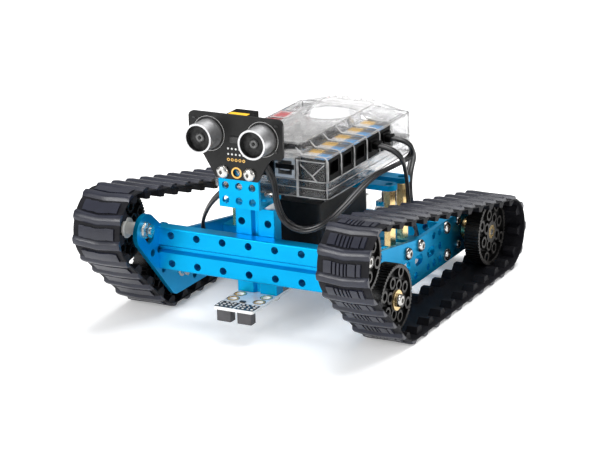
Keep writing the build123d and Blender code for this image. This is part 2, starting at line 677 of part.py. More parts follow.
def make_case():
    wall = 2 * CASE_WALL
    with BuildPart() as base:
        with BuildSketch(Plane.XY.offset(CASE_BOTTOM)):
            RectangleRounded(CASE_WIDTH, CASE_LENGTH, CASE_CORNER)
        extrude(amount=CASE_SPLIT - CASE_BOTTOM)
        with BuildSketch(Plane.XY.offset(CASE_BOTTOM + CASE_WALL)):
            RectangleRounded(CASE_WIDTH - wall, CASE_LENGTH - wall, CASE_CORNER - CASE_WALL)
        extrude(amount=CASE_SPLIT, mode=Mode.SUBTRACT)
        with BuildSketch(Plane.XY.offset(CASE_BOTTOM)):
            with GridLocations(54, 84, 2, 2):
                Circle(3.6)
        extrude(amount=BOARD_Z - CASE_BOTTOM)
        with BuildSketch(Plane.XY.offset(CASE_RAIL_Z + CASE_RAIL_THICK)):
            with Locations((-CASE_X, MIDDLE_Y - CASE_Y)):
                with GridLocations(3 * PITCH, PITCH, 2, 2):
                    Circle(4.0)
        extrude(amount=CASE_BOTTOM - CASE_RAIL_Z - CASE_RAIL_THICK)
    save(Pos(CASE_X, CASE_Y, 0) * base.part, "case_base")

    port_y = [FIRST_PORT_Y - CASE_Y + PORT_PITCH * k for k in range(5)]
    collar = 2 * (CASE_TOP - CASE_SHOULDER)
    outer = lid_block(0)
    inner = lid_block(CASE_WALL)
    with BuildPart() as lid:
        add(outer)
        add(inner, mode=Mode.SUBTRACT)
        with Locations((0.2, OPENING_Y, CASE_TOP)):
            Cylinder(OPENING_R + 1.2, collar, align=(Align.CENTER, Align.CENTER, Align.MAX))
            Cylinder(OPENING_R, 24.0, mode=Mode.SUBTRACT)
        with BuildSketch(Plane.XY.offset(CASE_TOP - 0.6)):
            with Locations((0, CASE_LENGTH / 2 - 5.0)):
                with GridLocations(8.0, 1.0, 4, 1):
                    RectangleRounded(4.0, 3.4, 0.6)
        extrude(amount=2.2)
        for side in (1, -1):
            with BuildSketch(x_plane(span(side, CASE_WIDTH / 2 - PORT_DEPTH - 1.0, CASE_WIDTH / 2 + 1.0))):
                with Locations(*[(y, CASE_SPLIT + PORT_HEIGHT / 2 + 0.3) for y in port_y]):
                    Rectangle(PORT_WIDTH + 0.8, PORT_HEIGHT)
            extrude(amount=PORT_DEPTH + 2.0, mode=Mode.SUBTRACT)
        with BuildSketch(Plane.XZ.offset(CASE_LENGTH / 2 + 1.0)):
            with Locations((USB_X - CASE_X, CASE_SPLIT + 6.1)):
                Rectangle(USB_WIDTH + 0.6, FRONT_SOCKET_HEIGHT + 0.8)
            with Locations((JACK_X - CASE_X, CASE_SPLIT + 6.1)):
                Rectangle(JACK_WIDTH + 0.6, FRONT_SOCKET_HEIGHT + 0.8)
            with Locations((SWITCH_X - CASE_X, CASE_SPLIT + 3.2)):
                Rectangle(SWITCH_WIDTH + 0.4, 5.6)
        extrude(amount=-(CASE_WALL + 4.0), mode=Mode.SUBTRACT)
    save(Pos(CASE_X, CASE_Y, 0) * lid.part, "case_lid")


def make_board():
    board_top = BOARD_Z + 1.6
    with BuildPart() as board:
        with BuildSketch(Plane.XY.offset(BOARD_Z)):
            RectangleRounded(CASE_WIDTH - 4.4, CASE_LENGTH - 5.0, 2.0)
        extrude(amount=1.6)
        with BuildSketch(Plane.XY.offset(board_top)):
            with Locations((-6.0, -6.0), (8.0, -22.0)):
                RectangleRounded(12.0, 12.0, 0.6)
            with Locations((9.0, -8.0), (-10.0, -20.0), (10.0, 42.0)):
                Rectangle(7.0, 5.0)
            with Locations(RESET_SPOT):
                Rectangle(6.2, 6.2)
            with Locations((-12.0, 42.0)):
                Rectangle(14.0, 6.0)
        extrude(amount=2.0)
        with BuildSketch(Plane.XY.offset(board_top)):
            with Locations((0.2, OPENING_Y)):
                with PolarLocations(11.0, 12):
                    Rectangle(3.2, 3.2)
        extrude(amount=1.4)
    save(Pos(CASE_X, CASE_Y, 0) * board.part, "control_board")

    port_x = CASE_WIDTH / 2 - 0.4 - PORT_DEPTH / 2
    with BuildPart() as ports:
        for side in (1, -1):
            for k in range(5):
                with BuildSketch(Plane.XY.offset(board_top)):
                    with Locations((side * port_x, FIRST_PORT_Y + PORT_PITCH * k)):
                        Rectangle(PORT_DEPTH, PORT_WIDTH)
                extrude(amount=PORT_HEIGHT - 0.5)
        for side in (1, -1):
            with BuildSketch(x_plane(span(side, CASE_WIDTH / 2 - SOCKET_RECESS, CASE_WIDTH / 2))):
                for k in range(5):
                    with Locations((FIRST_PORT_Y + PORT_PITCH * k, board_top + 6.4)):
                        Rectangle(9.8, 7.0)
            extrude(amount=SOCKET_RECESS, mode=Mode.SUBTRACT)
    save(Pos(CASE_X, 0, 0) * ports.part, "port_sockets")

    front = CASE_Y - CASE_LENGTH / 2
    with BuildPart() as usb:
        with BuildSketch(Plane.XZ.offset(-front)):
            with Locations((USB_X, board_top + 5.6)):
                Rectangle(USB_WIDTH, FRONT_SOCKET_HEIGHT)
        extrude(amount=-16.0)
        with BuildSketch(Plane.XZ.offset(-front)):
            with Locations((USB_X, board_top + 5.6)):
                Rectangle(8.4, 7.8)
                Rectangle(5.6, 3.2, mode=Mode.SUBTRACT)
        extrude(amount=-9.0, mode=Mode.SUBTRACT)
    save(usb.part, "usb_socket")

    with BuildPart() as jack:
        with BuildSketch(Plane.XZ.offset(-front)):
            with Locations((JACK_X, board_top + 5.6)):
                Rectangle(JACK_WIDTH, FRONT_SOCKET_HEIGHT)
        extrude(amount=-13.5)
        with BuildSketch(Plane.XZ.offset(-front)):
            with Locations((JACK_X, board_top + 5.8)):
                Circle(3.1)
                Circle(1.0, mode=Mode.SUBTRACT)
        extrude(amount=-10.0, mode=Mode.SUBTRACT)
    save(jack.part, "power_jack")

    with BuildPart() as switch:
        with BuildSketch(Plane.XZ.offset(-(front + 2.0))):
            with Locations((SWITCH_X, board_top + 2.2)):
                Rectangle(SWITCH_WIDTH, 4.0)
        extrude(amount=-4.0)
        with BuildSketch(Plane.XZ.offset(-(front + 2.0))):
            with Locations((SWITCH_X, board_top + 2.2)):
                Rectangle(SLIDE_TRAVEL + 2.8, 1.9)
        extrude(amount=-3.0, mode=Mode.SUBTRACT)
    save(switch.part, "power_switch")

    with BuildPart() as lever:
        with BuildSketch(Plane.XZ.offset(-(front - 0.8))):
            with Locations((SWITCH_X - SLIDE_TRAVEL / 2, board_top + 2.2)):
                Rectangle(2.0, 1.7)
        extrude(amount=-5.2)
    save(lever.part, "switch_lever")

    with BuildPart() as button:
        with Locations((RESET_SPOT[0] + CASE_X, RESET_SPOT[1] + CASE_Y, board_top + 2.3)):
            Cylinder(1.75, 1.6, align=(Align.CENTER, Align.CENTER, Align.MIN))
    save(button.part, "reset_button")


# ---- battery box ----
def make_battery_box():
    cell_r = 7.1
    cell_length = 50.0
    width, length, height = 50.0, 58.0, 31.0
    centre_y = -4.0
    floor = PLATE_TOP + 0.3
    rows = [(x, floor + z) for x in (-15.2, 0, 15.2) for z in (8.2, 22.8)]
    with BuildPart() as box:
        with BuildSketch(Plane.XY.offset(floor)):
            with Locations((0, centre_y)):
                RectangleRounded(width, length, 2.0)
        extrude(amount=height)
        with BuildSketch(Plane.XZ.offset(-(centre_y - cell_length / 2 - 0.6))):
            with Locations(*rows):
                Circle(cell_r + 0.35)
        extrude(amount=-(cell_length + 1.2), mode=Mode.SUBTRACT)
        with Locations((0, centre_y, floor), (0, centre_y, floor + height)):
            Box(38.0, cell_length - 6.0, 9.0, mode=Mode.SUBTRACT)
    save(box.part, "battery_box")
    with BuildPart() as cells:
        with BuildSketch(Plane.XZ.offset(-(centre_y - cell_length / 2))):
            with Locations(*rows):
                Circle(cell_r)
        extrude(amount=-(cell_length - 1.0))
        with BuildSketch(Plane.XZ.offset(-(centre_y - cell_length / 2) - cell_length + 1.0)):
            with Locations(*rows):
                Circle(2.7)
        extrude(amount=-1.0)
    save(cells.part, "battery_cells")


# ---- cables ----
DISTANCE_ROUTE = [
    (39.6, 19.7, 90.9), (47.5, 20.2, 91.2), (54.0, 25.0, 86.0), (51.5, 26.0, 79.0),
    (46.6, 12.0, 76.8), (46.0, -8.0, 77.6), (46.2, -25.0, 75.3), (45.6, -42.0, 70.5),
    (41.0, -55.5, 63.5), (28.0, -57.5, 57.6), (17.8, -60.0, 62.5), (15.2, -63.5, 74.0),
    (15.2, -65.0, 88.0), (9.5, -68.5, 98.5), (1.2, -69.6, 101.5), (0.0, -69.9, 111.0),
]
LINE_ROUTE = [
    (39.6, 4.2, 90.9), (48.0, 3.0, 91.2), (55.4, 7.5, 85.0), (54.8, 13.5, 73.0),
    (54.2, 17.0, 60.0), (53.9, 17.5, 47.5), (53.6, 28.2, 38.0), (50.0, 37.0, 27.5),
    (38.0, 33.0, 18.5), (20.0, 14.0, 18.0), (6.0, -8.0, 20.0), (0.0, -26.0, 26.2), (0.0, -38.5, 26.2),
]
BATTERY_ROUTE = [
    (2.2, -50.9, 90.0), (1.4, -58.5, 89.6), (-10.0, -61.5, 82.0), (-24.0, -54.5, 72.5),
    (-35.5, -48.0, 62.0), (-41.5, -46.5, 50.0), (-37.5, -46.5, 40.0), (-27.0, -45.5, 36.8),
    (-18.6, -41.5, 38.6), (-18.0, -33.1, 39.0),
]
MOTOR_ROUTE = [
    (14.0, 52.8, 89.0), (14.6, 61.0, 89.0), (27.0, 65.5, 85.0), (43.5, 55.0, 78.5),
    (52.0, 37.5, 70.5), (53.0, 32.0, 58.0), (48.0, 38.5, 47.0), (36.0, 52.0, 43.0),
    (20.0, 67.0, 43.5), (9.0, 78.0, 43.0), (8.5, 81.6, 34.4),
]


def corner_radii(route):
    """The largest bend at each inner point that its two runs leave room for."""
    points = [Vector(*point) for point in route]
    radii = []
    for before, here, after in zip(points, points[1:], points[2:]):
        turn = (here - before).get_angle(after - here)
        shorter = min((here - before).length, (after - here).length)
        radii.append(0.45 * shorter / math.tan(math.radians(turn / 2)))
    return radii


def make_cable(route, name):
    radii = corner_radii(route)
    with BuildPart() as cable:
        with BuildLine():
            path = FilletPolyline(*route, radius=radii)
        with BuildSketch(Plane(origin=path @ 0, z_dir=path % 0)):
            Circle(CABLE_R)
        sweep()
    length = path.length
    print(name, "length", round(length, 1), "radii", [round(radius, 1) for radius in radii])
    print("  volume ratio", round(cable.part.volume / (length * math.pi * CABLE_R**2), 4))
    save(cable.part, name)


make_beams()
make_case_rails()
make_side_plate(1, "side_plate_right")
make_side_plate(-1, "side_plate_left")
make_fasteners()
make_standoffs()
make_track(1, "track_right")
make_track(-1, "track_left")
make_running_gear()
make_motor(1, "right")
make_motor(-1, "left")
make_motor_screws()
make_distance_sensor()
make_line_sensor()
make_case()
make_board()
make_battery_box()
make_cable(DISTANCE_ROUTE, "distance_sensor_cable")
make_cable(LINE_ROUTE, "line_sensor_cable")
make_cable(BATTERY_ROUTE, "battery_lead")
make_cable(MOTOR_ROUTE, "motor_cable")
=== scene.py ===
import json
import math
import random

import bmesh
import bpy
from mathutils import Matrix, Vector


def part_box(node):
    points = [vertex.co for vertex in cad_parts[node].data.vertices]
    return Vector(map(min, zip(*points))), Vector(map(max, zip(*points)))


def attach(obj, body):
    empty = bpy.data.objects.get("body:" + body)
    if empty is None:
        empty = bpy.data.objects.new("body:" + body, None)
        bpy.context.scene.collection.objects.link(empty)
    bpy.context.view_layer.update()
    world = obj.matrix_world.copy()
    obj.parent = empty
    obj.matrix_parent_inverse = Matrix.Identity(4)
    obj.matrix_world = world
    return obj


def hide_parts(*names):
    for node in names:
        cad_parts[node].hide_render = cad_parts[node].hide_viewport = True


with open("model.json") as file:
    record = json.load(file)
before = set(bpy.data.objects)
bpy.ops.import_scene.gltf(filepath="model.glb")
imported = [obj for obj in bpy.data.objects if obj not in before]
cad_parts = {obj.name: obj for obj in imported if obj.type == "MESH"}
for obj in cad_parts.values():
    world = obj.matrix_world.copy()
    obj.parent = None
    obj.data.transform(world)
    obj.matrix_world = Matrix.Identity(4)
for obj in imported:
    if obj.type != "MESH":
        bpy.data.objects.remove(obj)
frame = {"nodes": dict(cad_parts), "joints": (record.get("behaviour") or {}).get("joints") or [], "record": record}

# Lengths in this file are millimetres in the frame of the CAD model, and MM turns them into metres.
MM = 0.001
NODES = frame["nodes"]
JOINTS = {joint["name"]: joint for joint in frame["joints"]}

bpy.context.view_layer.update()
random.seed(7)


def node_box(name):
    """Lowest and highest corner of a CAD node, in millimetres."""
    low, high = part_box(name)
    return low / MM, high / MM


def joint_place(name):
    """A joint's place in millimetres."""
    return Vector(JOINTS[name]["pos_m"]) / MM


# ---- camera ----
CAMERA_PLACE = (579.8, -1086.9, 437.5)
CAMERA_YAW = 0.49362
CAMERA_PITCH = 0.31135
CAMERA_ROLL = -0.02668
CAMERA_LENS = 138.9
SENSOR_WIDTH = 36.0


def make_camera():
    """Looks down at the robot from the front right, with a slight roll."""
    yaw, pitch, roll = CAMERA_YAW, CAMERA_PITCH, CAMERA_ROLL
    right = Vector((math.cos(yaw), math.sin(yaw), 0))
    ahead = Vector((-math.sin(yaw) * math.cos(pitch), math.cos(yaw) * math.cos(pitch), -math.sin(pitch)))
    up = right.cross(ahead)
    rolled_right = math.cos(roll) * right + math.sin(roll) * up
    rolled_up = -math.sin(roll) * right + math.cos(roll) * up
    data = bpy.data.cameras.new("camera")
    data.lens = CAMERA_LENS
    data.sensor_width = SENSOR_WIDTH
    data.clip_start = 0.01
    data.clip_end = 20
    camera = bpy.data.objects.new("camera", data)
    turn = Matrix((rolled_right, rolled_up, -ahead)).transposed().to_4x4()
    camera.matrix_world = Matrix.Translation(Vector(CAMERA_PLACE) * MM) @ turn
    bpy.context.scene.collection.objects.link(camera)
    bpy.context.scene.camera = camera


make_camera()


# ---- materials ----
class Paint:
    """A node material built a step at a time. Each step returns the socket it makes."""

    def __init__(self, name, color=(0.5, 0.5, 0.5), rough=0.5, metal=0.0, **uniform):
        self.material = bpy.data.materials.new(name)
        self.material.use_nodes = True
        self.tree = self.material.node_tree
        self.shader = self.tree.nodes["Principled BSDF"]
        self.set("Base Color", (*color, 1))
        self.set("Roughness", rough)
        self.set("Metallic", metal)
        for key, value in uniform.items():
            self.set(key.replace("_", " "), value)
        self.place = self.add("ShaderNodeTexCoord").outputs["Object"]

    def set(self, socket, value):
        """A plain value or a link on the shader's own socket."""
        if isinstance(value, bpy.types.NodeSocket):
            self.tree.links.new(value, self.shader.inputs[socket])
        else:
            self.shader.inputs[socket].default_value = value

    def add(self, kind, inputs=None, **settings):
        """A node with its settings made and its inputs given as values or links."""
        node = self.tree.nodes.new(kind)
        for key, value in settings.items():
            setattr(node, key, value)
        for key, value in (inputs or {}).items():
            if isinstance(value, bpy.types.NodeSocket):
                self.tree.links.new(value, node.inputs[key])
            else:
                node.inputs[key].default_value = value
        return node

    def noise(self, scale, detail=3.0, rough=0.55, stretch=None):
        """Noise with its grain size given in millimetres."""
        where = self.place
        if stretch:
            where = self.add("ShaderNodeMapping", {"Vector": self.place, "Scale": stretch}).outputs["Vector"]
        inputs = {"Vector": where, "Scale": 1 / (scale * MM), "Detail": detail, "Roughness": rough}
        return self.add("ShaderNodeTexNoise", inputs).outputs["Fac"]

    def ramp(self, factor, *stops):
        """Colour ramp from (position, colour) stops; a colour may be one grey number."""
        node = self.add("ShaderNodeValToRGB", {"Fac": factor})
        elements = node.color_ramp.elements
        while len(elements) < len(stops):
            elements.new(0.5)
        for element, (position, color) in zip(elements, stops):
            element.position = position
            if isinstance(color, (int, float)):
                color = (color, color, color)
            element.color = (*color, 1)
        return node.outputs["Color"]

    def math(self, operation, a, b=0.0):
        """One sum on two numbers or links."""
        return self.add("ShaderNodeMath", {0: a, 1: b}, operation=operation).outputs["Value"]

    def mix(self, factor, a, b):
        """Colour a where the factor is 0 and b where it is 1."""
        node = self.add("ShaderNodeMix", data_type="RGBA")
        sockets = (node.inputs[0], node.inputs[6], node.inputs[7])
        for socket, value in zip(sockets, (factor, a, b)):
            if isinstance(value, bpy.types.NodeSocket):
                self.tree.links.new(value, socket)
            elif isinstance(value, tuple):
                socket.default_value = (*value, 1)
            else:
                socket.default_value = value
        return node.outputs[2]

    def axis(self, name):
        """One object coordinate in millimetres."""
        split = self.add("ShaderNodeSeparateXYZ", {"Vector": self.place}).outputs[name]
        return self.math("DIVIDE", split, MM)

    def bump(self, height, depth, strength=1.0):
        """Bump of a depth in millimetres."""
        inputs = {"Height": height, "Distance": depth * MM, "Strength": strength}
        self.set("Normal", self.add("ShaderNodeBump", inputs).outputs["Normal"])


DULL = {"Specular_IOR_Level": 0.25}
PULLEY_WIDTH = 9.0
WEAR_DEPTH = 0.12
TOP_BAND_DEPTH = 2.4  # how far below its top the clear lid is whiter and lets less light through


def shades(name, dark, light, grain, rough, depth=0.02, metal=0.0, **uniform):
    """Colour that drifts between two shades, with roughness and a fine bump from the same grain."""
    paint = Paint(name, dark, 0.5, metal, **uniform)
    drift = paint.noise(grain * 8, 2.0)
    fine = paint.noise(grain, 4.0)
    paint.set("Base Color", paint.ramp(drift, (0.3, dark), (0.7, light)))
    paint.set("Roughness", paint.ramp(fine, (0.3, rough[0]), (0.7, rough[1])))
    paint.bump(fine, depth)
    return paint


def plain(*look, **uniform):
    """The material of a surface that only drifts between two shades, given as for shades."""
    return shades(*look, **uniform).material


def grey(level):
    """A neutral colour."""
    return (level, level, level)


def make_blue():
    """Bead-blasted and anodised aluminium with a faint drawn grain."""
    paint = Paint("anodised_blue", (0.0, 0.33, 0.8), 0.35, 0.8, Specular_IOR_Level=0.2)
    drift = paint.noise(30, 2.0)
    drawn = paint.noise(0.5, 3.0, 0.6, (0.03, 1.0, 1.0))
    blasted = paint.noise(0.25, 2.0)
    color = paint.ramp(drift, (0.25, (0.0, 0.31, 0.62)), (0.75, (0.0, 0.37, 0.70)))
    paint.set("Base Color", color)
    paint.set("Roughness", paint.ramp(drawn, (0.3, 0.34), (0.7, 0.46)))
    paint.bump(blasted, 0.012)
    return paint.material


def make_rubber():
    """Moulded rubber of the raised bars and pads: slate black, lighter than the carcass, whose darker colour is
    painted shade.
    """
    paint = Paint("track_rubber", (0.03, 0.03, 0.04), 0.5, Specular_IOR_Level=0.45)
    drift = paint.noise(14, 3.0)
    grain = paint.noise(0.45, 4.0, 0.65)
    paint.set("Base Color", paint.ramp(drift, (0.25, (0.008, 0.009, 0.017)), (0.75, (0.017, 0.019, 0.034))))
    paint.set("Roughness", paint.ramp(grain, (0.3, 0.26), (0.75, 0.42)))
    paint.bump(grain, 0.05, 0.6)
    return paint.material


def make_shaded_rubber():
    """The same rubber on the carcass and lugs: dull where nothing rubs it, and darker as painted shade inside the
    belt and in the valleys between bars.
    """
    dark, light = (0.005, 0.005, 0.007), (0.010, 0.010, 0.013)
    return plain("track_rubber_inside", dark, light, 0.5, (0.5, 0.65), 0.03, Specular_IOR_Level=0.15)


def make_pulley():
    """Black moulding with pale wear on the outermost faces of its rim and bosses."""
    face = joint_place("drive_spin_right").x + PULLEY_WIDTH / 2
    paint = Paint("pulley_plastic", grey(0.006), 0.4, **DULL)
    outward = paint.math("ABSOLUTE", paint.axis("X"))
    on_face = paint.math("GREATER_THAN", outward, face - WEAR_DEPTH)
    wear = paint.ramp(paint.noise(1.6, 4.0), (0.32, 0.35), (0.62, 1.0))
    amount = paint.math("MULTIPLY", on_face, wear)
    paint.set("Base Color", paint.mix(amount, grey(0.006), (0.075, 0.072, 0.069)))
    paint.set("Roughness", paint.ramp(paint.noise(0.5), (0.3, 0.32), (0.7, 0.5)))
    paint.bump(paint.noise(0.35), 0.02)
    return paint.material


def make_clear():
    """Clear moulding: shadows and light pass through it; near its top it is whiter and lets less light through,
    and below that its tint is greyer.
    """
    paint = Paint("clear_case", (0.97, 0.965, 0.96), 0.03, IOR=1.4, Alpha=0.6, Specular_IOR_Level=0.2)
    top_transmission = paint.ramp(paint.noise(5.0, 1.0, 0.4), (0.3, 0.5), (0.7, 0.64))
    on_top = paint.math("GREATER_THAN", paint.axis("Z"), node_box("case_lid")[1].z - TOP_BAND_DEPTH)
    paint.set("Base Color", paint.mix(on_top, (0.80, 0.80, 0.81), (0.97, 0.965, 0.96)))
    paint.set("Transmission Weight", paint.mix(on_top, grey(0.98), top_transmission))
    paint.set("Roughness", paint.ramp(paint.noise(5.0), (0.3, 0.01), (0.7, 0.06)))
    paint.bump(paint.noise(9.0, 2.0), 0.12, 0.5)
    return paint.material


def make_clear_edge():
    """The same clear plastic where a rib or a rounded edge gathers the light."""
    paint = Paint("clear_edge", grey(0.8), 0.1, Transmission_Weight=0.45, IOR=1.45, Alpha=0.85)
    paint.set("Base Color", paint.ramp(paint.noise(6.0, 3.0), (0.35, 0.42), (0.65, 0.85)))
    paint.set("Roughness", paint.ramp(paint.noise(1.5), (0.3, 0.08), (0.7, 0.25)))
    return paint.material


MATERIALS = {
    "anodised_blue": make_blue(),
    "rubber_track": make_rubber(),
    "pulley_plastic": make_pulley(),
    "clear_plastic": make_clear(),
    "black_plastic": plain("black_plastic", grey(0.006), grey(0.011), 0.4, (0.4, 0.55), **DULL),
    "socket_black": plain(
        "socket_plastic", grey(0.001), grey(0.002), 0.5, (0.4, 0.5), 0.01, Specular_IOR_Level=0.08
    ),
    "steel_screw": plain(
        "plated_steel", (0.50, 0.49, 0.47), (0.62, 0.61, 0.59), 0.5, (0.2, 0.3), 0.005, 1.0
    ),
    "brass": plain("turned_brass", (0.78, 0.55, 0.25), (0.9, 0.68, 0.34), 0.4, (0.2, 0.34), 0.01, 1.0),
    "nylon": plain("nylon", (0.74, 0.74, 0.71), (0.84, 0.84, 0.82), 0.6, (0.4, 0.55)),
    "motor_steel": plain(
        "motor_steel", (0.55, 0.55, 0.54), (0.68, 0.68, 0.67), 0.5, (0.2, 0.32), 0.01, 1.0
    ),
    "sensor_board_black": plain("sensor_mask", grey(0.006), grey(0.010), 1.0, (0.3, 0.42), **DULL),
    "line_board_white": plain("line_mask", (0.78, 0.79, 0.78), (0.86, 0.86, 0.85), 1.0, (0.25, 0.4)),
    "transducer_metal": plain(
        "sensor_can", (0.56, 0.56, 0.57), (0.7, 0.7, 0.71), 0.3, (0.28, 0.42), 0.01, 0.9
    ),
    "eye_grey": plain("eye_plastic", (0.045, 0.043, 0.046), (0.065, 0.062, 0.066), 0.6, (0.4, 0.55)),
    "board_black": plain(
        "control_mask", (0.02, 0.02, 0.022), (0.04, 0.04, 0.043), 1.2, (0.3, 0.45), **DULL
    ),
    "plug_metal": plain("plated_shell", (0.5, 0.5, 0.49), (0.68, 0.68, 0.67), 0.6, (0.34, 0.5), 0.01, 0.6),
    "cell_wrap": plain("cell_sleeve", (0.02, 0.022, 0.025), (0.04, 0.04, 0.045), 1.0, (0.25, 0.4)),
    "cable_black": plain("cable_sheath", (0.006, 0.006, 0.007), (0.012, 0.012, 0.013), 0.6, (0.26, 0.38)),
    "button_white": plain("button_cap", (0.72, 0.72, 0.71), (0.8, 0.8, 0.79), 0.5, (0.3, 0.42)),
}

for entry in frame["record"]["subparts"]:
    mesh = NODES[entry["node"]].data
    mesh.materials.clear()
    mesh.materials.append(MATERIALS[entry["material_slot"]])


# ---- mesh building ----
class Shape:
    """Closed solids gathered as points and faces, in millimetres."""

    def __init__(self):
        self.points = []
        self.faces = []
        self.paints = []

    def loft(self, rings, paint=0, closed=False):
        """A solid through rings of equal count: capped at both ends, or closed on itself like a washer."""
        start = len(self.points)
        count = len(rings[0])
        for ring in rings:
            self.points.extend(Vector(point) for point in ring)
        spans = len(rings) if closed else len(rings) - 1
        for k in range(spans):
            a = start + k * count
            b = start + (k + 1) % len(rings) * count
            for i in range(count):
                j = (i + 1) % count
                self.faces.append((a + i, a + j, b + j, b + i))
                self.paints.append(paint)
        if not closed:
            last = start + (len(rings) - 1) * count
            self.faces += [tuple(range(start, start + count)), tuple(range(last, last + count))]
            self.paints += [paint, paint]

    def slab(self, low, high, edge=0.2, corner=None, paint=0):
        """A block with softened edges and rounded corners, upright along Z."""
        rings = []
        for z, inset in ((low[2], edge), (low[2] + edge, 0), (high[2] - edge, 0), (high[2], edge)):
            rings.append(rounded_ring(low, high, inset, corner or edge, z))
        self.loft(rings, paint)

    def disc(self, place, radius, length, edge=0.2, sides=32, paint=0):
        """A round solid along the placing matrix's Z, from 0 to length."""
        rings = []
        for z, r in ((0, radius - edge), (edge, radius), (length - edge, radius), (length, radius - edge)):
            rings.append([place @ Vector(point) for point in circle(r, z, sides)])
        self.loft(rings, paint)

    def washer(self, place, inner, outer, length, sides=32, paint=0):
        """A flat ring along the placing matrix's Z, from 0 to length."""
        edge = min(length, outer - inner) * 0.25
        profile = [(inner, edge), (inner + edge, 0), (outer - edge, 0), (outer, edge)]
        profile += [(r, length - z) for r, z in reversed(profile)]
        rings = []
        for k in range(sides):
            a = 2 * math.pi * k / sides
            rings.append([place @ Vector((r * math.cos(a), r * math.sin(a), z)) for r, z in profile])
        self.loft(rings, paint, closed=True)

    def piece(self, name, paints, replaces=(), sharp=35):
        """The finished object, riding on the chassis; edges turning more than sharp degrees stay crisp."""
        mesh = bpy.data.meshes.new(name)
        mesh.from_pydata([point * MM for point in self.points], [], self.faces)
        for paint in paints:
            mesh.materials.append(paint)
        for polygon, paint in zip(mesh.polygons, self.paints):
            polygon.material_index = paint
        work = bmesh.new()
        work.from_mesh(mesh)
        bmesh.ops.recalc_face_normals(work, faces=work.faces)
        work.to_mesh(mesh)
        work.free()
        mesh.shade_smooth()
        mesh.set_sharp_from_angle(angle=math.radians(sharp))
        made = bpy.data.objects.new(name, mesh)
        bpy.context.scene.collection.objects.link(made)
        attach(made, "chassis")
        if replaces:
            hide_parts(*replaces)


def circle(radius, z, sides):
    """Points round a circle at one height."""
    angles = [2 * math.pi * k / sides for k in range(sides)]
    return [(radius * math.cos(a), radius * math.sin(a), z) for a in angles]


def rounded_ring(low, high, inset, corner, z, steps=3):
    """Points at one height round a rectangle with rounded corners, inset from two opposite corners."""
    x0, x1 = low[0] + inset, high[0] - inset
    y0, y1 = low[1] + inset, high[1] - inset
    corner = min(corner, (x1 - x0) / 2.01, (y1 - y0) / 2.01)
    points = []
    for cx, cy, start in (
        (x1 - corner, y1 - corner, 0), (x0 + corner, y1 - corner, 90),
        (x0 + corner, y0 + corner, 180), (x1 - corner, y0 + corner, 270),
    ):
        for k in range(steps + 1):
            a = math.radians(start + 90 * k / steps)
            points.append((cx + corner * math.cos(a), cy + corner * math.sin(a), z))
    return points


def looking(direction, place):
    """A matrix whose Z runs along a direction from a place."""
    turn = Vector(direction).to_track_quat("Z", "Y").to_matrix().to_4x4()
    return Matrix.Translation(Vector(place)) @ turn


UP = (0, 0, 1)
FORWARD = (0, -1, 0)


# ---- tracks ----
CARCASS = 1.5  # thickness of the belt between its bars
TREAD = 1.2  # height of the bars
VALLEY = 0.5  # how far the belt lies below the path between its bars
SOFT = 0.4  # rounding of the belt's edges
BELT_UNITS = 32
CHEVRON = 1.5  # how far each bar's middle runs ahead of its ends
BAR_ENDS = 0.5
ROOT = -0.8  # where bars and pads start, inside the belt
PADS = ((3.8, 8.7), (9.1, 11.0), (11.5, 13.2), (13.6, 15.4), (15.9, 17.1), (17.5, 22.2), (22.6, 25.2))
PAD_SPAN = (6.8, 13.6)
PAD_RISE = 0.35
LUG_SPAN = (2.4, 10.4)
LUG_HEIGHT = 3.6
LUG_LEAN = 2.1


class Belt:
    """A track's path round its three axles: s runs along the outer face of its carcass, h stands off it."""

    def __init__(self, hand):
        upper, lower, drive = (
            joint_place(name + hand).yz for name in ("upper_idler_spin_", "lower_idler_spin_", "drive_spin_")
        )
        self.radius = drive.y - TREAD
        self.runs = []
        order = (upper, drive, lower)
        for k, start in enumerate(order):
            end, after = order[(k + 1) % 3], order[(k + 2) % 3]
            along = (end - start).normalized()
            turned = (after - end).normalized()
            normal = Vector((-along.y, along.x))
            angle = math.atan2(normal.y, normal.x)
            turn = (angle - math.atan2(turned.x, -turned.y)) % (2 * math.pi)
            self.runs.append((start, (end - start).length, along, angle))
            self.runs.append((end, turn * self.radius, None, angle))
        self.length = sum(run[1] for run in self.runs)

    def at(self, s, h):
        """The (y, z) point at a distance along the belt and a height over its outer face."""
        s %= self.length
        for centre, length, along, angle in self.runs:
            if s <= length:
                break
            s -= length
        if along is None:
            angle -= s / self.radius
            shift = Vector((0, 0))
        else:
            shift = along * s
        return centre + shift + Vector((math.cos(angle), math.sin(angle))) * (self.radius + h)


def block_on_belt(shape, belt, s, x, h, lean, paint=0, steps=3):
    """A pad or lug between two places along the belt, across it and off it, leaning in towards its top."""
    lean_x = min(lean, 0.5)
    rings = []
    for k in range(steps + 1):
        part = k / steps
        foot = s[0] + (s[1] - s[0]) * part
        head = s[0] + lean + (s[1] - s[0] - 2 * lean) * part
        outline = ((x[0], foot, h[0]), (x[0] + lean_x, head, h[1]))
        outline += ((x[1] - lean_x, head, h[1]), (x[1], foot, h[0]))
        rings.append([(across, *belt.at(place, height)) for across, place, height in outline])
    shape.loft(rings, paint)


def add_bar(shape, belt, s, width, out):
    """One chevron bar right across the belt, a little lower at its two ends."""
    rings = []
    for k in range(13):
        x = width * k / 12
        nose = CHEVRON * (1 - abs(2 * x / width - 1))
        rise = TREAD if BAR_ENDS < x < width - BAR_ENDS else TREAD - 0.35
        profile = ((0, ROOT), (1.7, rise * 0.8), (2.3, rise), (4.4, rise), (5.1, rise * 0.8), (6.6, ROOT))
        rings.append([(out(x), *belt.at(s + along - nose, h)) for along, h in profile])
    shape.loft(rings)


